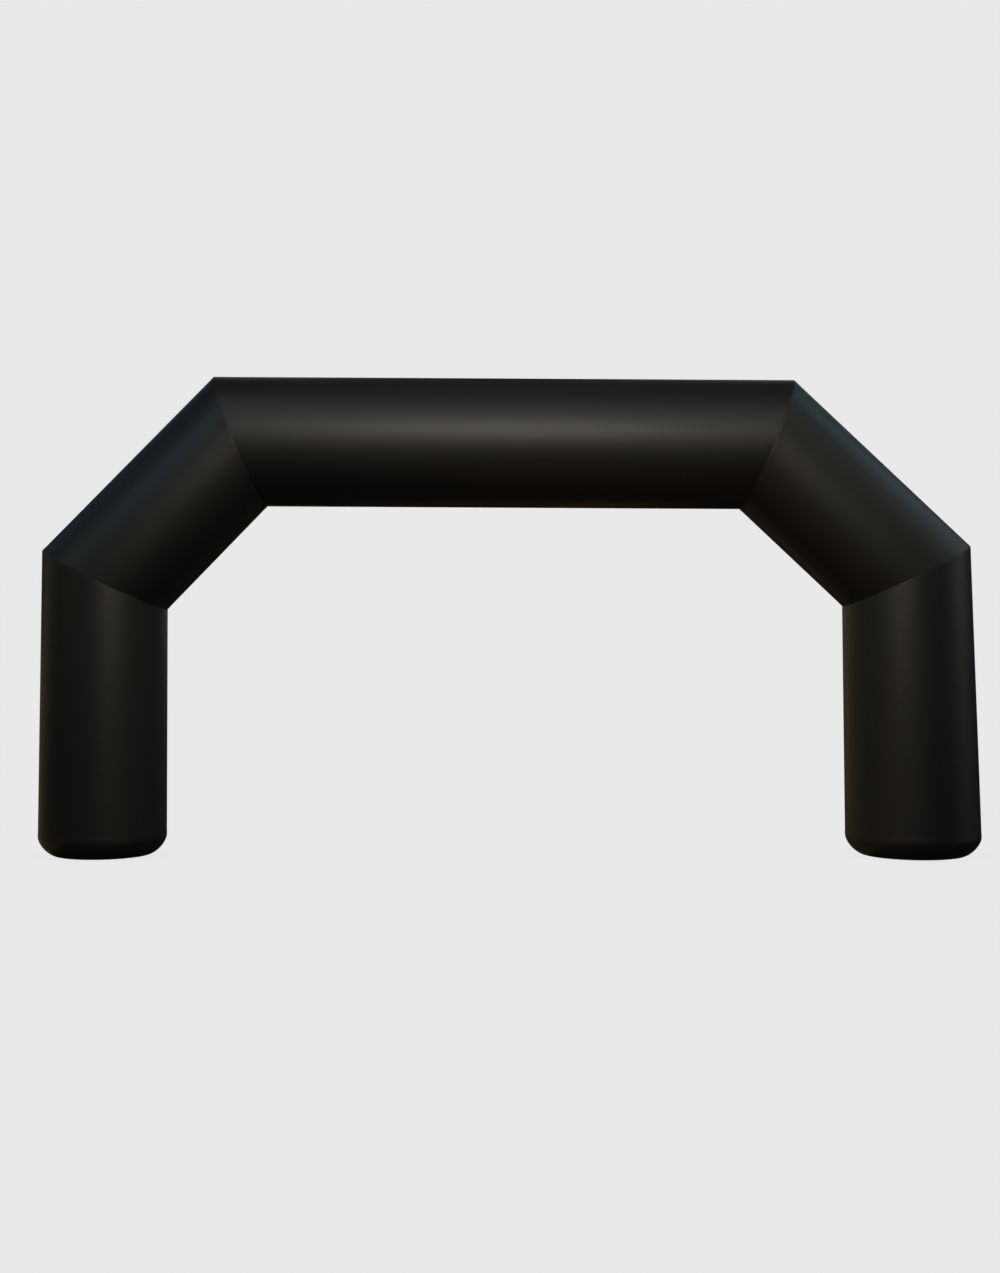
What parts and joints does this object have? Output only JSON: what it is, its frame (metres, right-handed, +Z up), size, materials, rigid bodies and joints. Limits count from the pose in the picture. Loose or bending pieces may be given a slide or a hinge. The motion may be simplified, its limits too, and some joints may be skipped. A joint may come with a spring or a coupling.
{
  "type": "inflatable arch",
  "caption": "Black air-filled gateway arch of straight mitred tubes, standing on round flat-bottomed bases, with an open passage under its top tube.",
  "frame": {"origin": "on the ground, midway between the outermost points of the two legs", "axes": "+X across the arch from its left leg to its right leg, +Y through the passage from front to back, +Z up"},
  "size_m": [6.0047, 0.85, 3.047],
  "materials": {
    "tube_cloth": "satin black coated polyester, woven",
    "base_cloth": "satin black coated polyester, woven",
    "thread": "black sewing thread"
  },
  "bodies": {
    "root": {"left_leg": "tube_cloth", "left_diagonal": "tube_cloth", "top_tube": "tube_cloth", "right_diagonal": "tube_cloth", "right_leg": "tube_cloth", "left_base": "base_cloth", "right_base": "base_cloth"}
  },
  "joints": []
}
